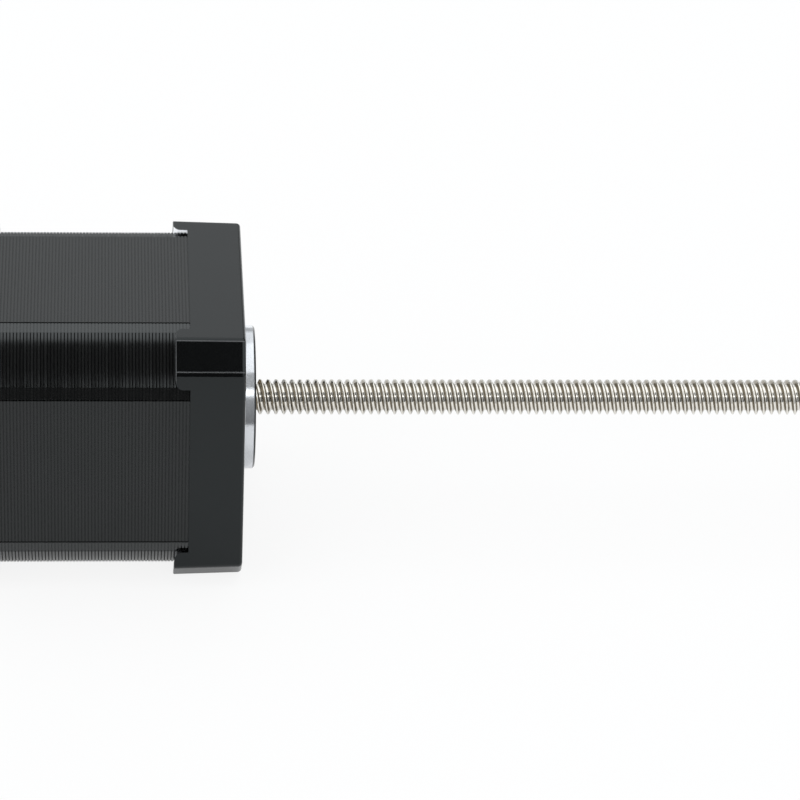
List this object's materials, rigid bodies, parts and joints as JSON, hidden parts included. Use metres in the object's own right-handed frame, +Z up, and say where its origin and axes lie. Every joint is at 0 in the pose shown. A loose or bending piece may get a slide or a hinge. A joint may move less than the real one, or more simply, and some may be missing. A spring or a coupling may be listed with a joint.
{
  "type": "non-captive linear stepper motor",
  "caption": "Square stepper motor whose hollow rotor turns a nut and drives a threaded lead screw straight through it, with a round pilot and tapped holes on the front face.",
  "frame": {"origin": "centre of the pilot on the mounting face", "axes": "+X along the lead screw, out of the pilot; +Z up with the motor lying on one side; the header faces +Y"},
  "size_m": [0.2, 0.0465, 0.0424],
  "materials": {
    "cap_black": "fine matt black coating, pilot machined bright",
    "lamination_black": "black coated sheet edges",
    "screw_steel": "rolled bare stainless thread",
    "nut_bronze": "turned bronze",
    "sleeve_steel": "ground steel",
    "bearing_steel": "ground bearing steel",
    "shield_steel": "pressed sheet",
    "cage_steel": "pressed sheet",
    "rotor_steel": "punched electrical steel",
    "magnet_nickel": "nickel plated magnet",
    "spring_steel": "spring steel",
    "bobbin_plastic": "moulded insulation",
    "coil_copper": "enamelled copper wire",
    "board_green": "circuit board",
    "header_plastic": "moulded natural plastic",
    "pin_tin": "tinned brass",
    "case_screw_steel": "blackened steel"
  },
  "bodies": {
    "motor": {"front_end_cap": "cap_black", "rear_end_cap": "cap_black", "stator_laminations": "lamination_black", "front_bobbin": "bobbin_plastic", "rear_bobbin": "bobbin_plastic", "winding_phase_a": "coil_copper", "winding_phase_b": "coil_copper", "winding_board": "board_green", "connector_housing": "header_plastic", "connector_pins": "pin_tin", "case_screws": "case_screw_steel", "wave_spring": "spring_steel", "front_bearing_outer_ring": "bearing_steel", "rear_bearing_outer_ring": "bearing_steel", "front_bearing_shield": "shield_steel", "rear_bearing_shield": "shield_steel"},
    "rotor": {"rotor_sleeve": "sleeve_steel", "drive_nut": "nut_bronze", "rotor_cup_front": "rotor_steel", "rotor_cup_rear": "rotor_steel", "rotor_magnet": "magnet_nickel", "front_rotor_shim": "sleeve_steel", "rear_rotor_shim": "sleeve_steel", "front_bearing_inner_ring": "bearing_steel", "rear_bearing_inner_ring": "bearing_steel"},
    "front_ball_set": {"front_bearing_balls": "bearing_steel", "front_bearing_cage": "cage_steel"},
    "rear_ball_set": {"rear_bearing_balls": "bearing_steel", "rear_bearing_cage": "cage_steel"},
    "screw": {"lead_screw": "screw_steel"}
  },
  "joints": [
    {"name": "rotor_spin", "type": "hinge", "parent": "motor", "child": "rotor", "pos_m": [0, 0, 0], "axis": [1, 0, 0], "range_deg": [-9000, 15480]},
    {"name": "screw_slide", "type": "slide", "parent": "motor", "child": "screw", "axis": [1, 0, 0], "range_m": [-0.1052, 0.0613]},
    {"name": "front_ball_orbit", "type": "hinge", "parent": "motor", "child": "front_ball_set", "pos_m": [0, 0, 0], "axis": [1, 0, 0], "range_deg": [-3775, 6480]},
    {"name": "rear_ball_orbit", "type": "hinge", "parent": "motor", "child": "rear_ball_set", "pos_m": [0, 0, 0], "axis": [1, 0, 0], "range_deg": [-3775, 6480]}
  ],
  "couplings": [
    {"joint": "screw_slide", "follows": "rotor_spin", "m_per_rad": -0.00038808},
    {"joint": "front_ball_orbit", "follows": "rotor_spin", "ratio": 0.41793},
    {"joint": "rear_ball_orbit", "follows": "rotor_spin", "ratio": 0.41793}
  ]
}
